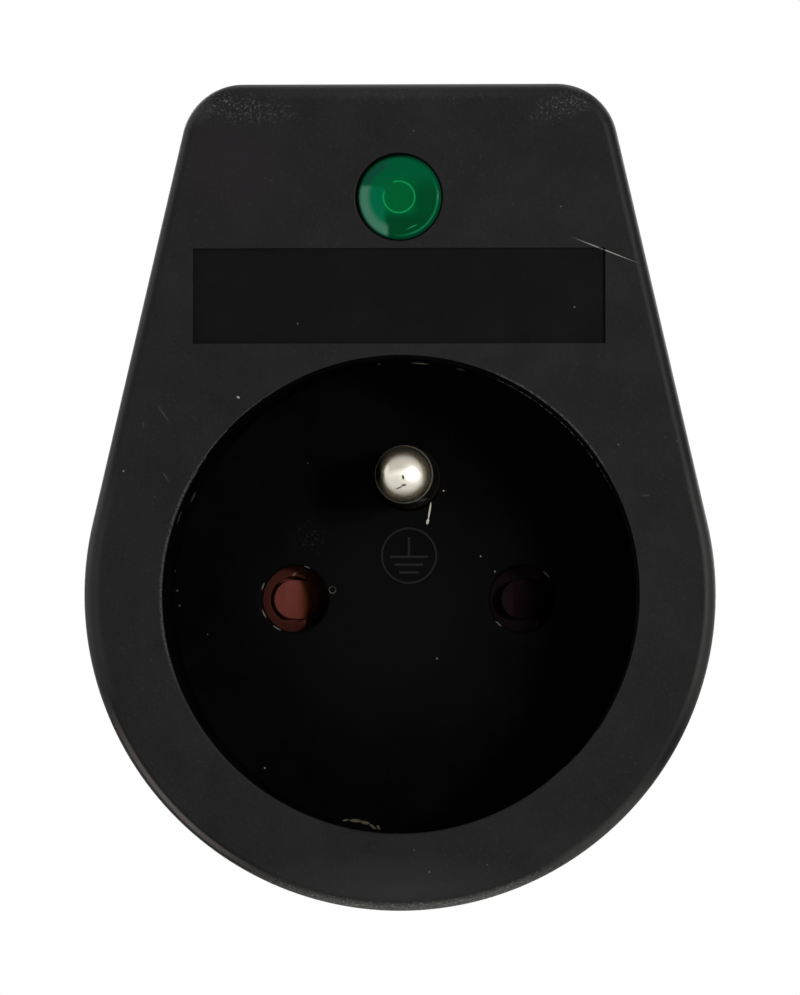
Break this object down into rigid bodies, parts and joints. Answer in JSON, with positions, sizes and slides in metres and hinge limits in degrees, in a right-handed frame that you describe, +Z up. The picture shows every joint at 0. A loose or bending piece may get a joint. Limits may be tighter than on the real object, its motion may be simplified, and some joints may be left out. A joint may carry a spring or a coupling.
{
  "type": "surge protection adapter",
  "caption": "Black plug-through surge protection adapter: recessed earthed socket with a sliding shutter, green indicator lens, and a two-pin plug with earth clips behind.",
  "frame": {"origin": "midway between the two plug pins, on the end face of the plug nose", "axes": "+Y points out of the back along the plug pins, so the socket faces -Y; +Z is up, from the socket towards the indicator; +X is the viewer's right in front"},
  "size_m": [0.052, 0.0726, 0.068],
  "materials": {
    "black_housing": "fine matt moulded surface",
    "green_lens": "clear green moulded plastic, glossy",
    "shutter_plastic": "red-brown moulded plastic",
    "carrier_plastic": "pale grey moulded plastic",
    "nickel_plate": "nickel plated and polished",
    "brass": "stamped brass",
    "spring_steel": "plated steel",
    "board": "glass fibre board with green lacquer",
    "varistor_coat": "blue epoxy coat",
    "component_body": "lacquered component body",
    "led_body": "green tinted epoxy",
    "brown_insulation": "PVC insulation",
    "blue_insulation": "PVC insulation",
    "green_insulation": "PVC insulation"
  },
  "bodies": {
    "body": {"front_housing": "black_housing", "rear_housing": "black_housing", "indicator_lens": "green_lens", "contact_carrier": "carrier_plastic", "shutter_spring": "spring_steel", "earth_pin": "nickel_plate", "earth_strap": "brass", "earth_tube": "brass", "earth_clip_top": "spring_steel", "earth_clip_bottom": "spring_steel", "live_pin": "nickel_plate", "neutral_pin": "nickel_plate", "live_contact": "brass", "neutral_contact": "brass", "circuit_board": "board", "varistor_live_neutral": "varistor_coat", "varistor_live_earth": "varistor_coat", "varistor_neutral_earth": "varistor_coat", "gas_tube": "nickel_plate", "thermal_fuse": "component_body", "status_led": "led_body", "resistor": "component_body", "diode": "black_housing", "live_lead": "brown_insulation", "neutral_lead": "blue_insulation", "earth_lead": "green_insulation", "housing_screws": "spring_steel"},
    "shutter": {"shutter": "shutter_plastic"}
  },
  "joints": [
    {"name": "shutter_slide", "type": "slide", "parent": "body", "child": "shutter", "axis": [-1, 0, 0], "range_m": [0, 0.0053], "stiffness_N_per_m": 100, "springref_m": -0.004, "deforming": ["shutter_spring"]}
  ]
}
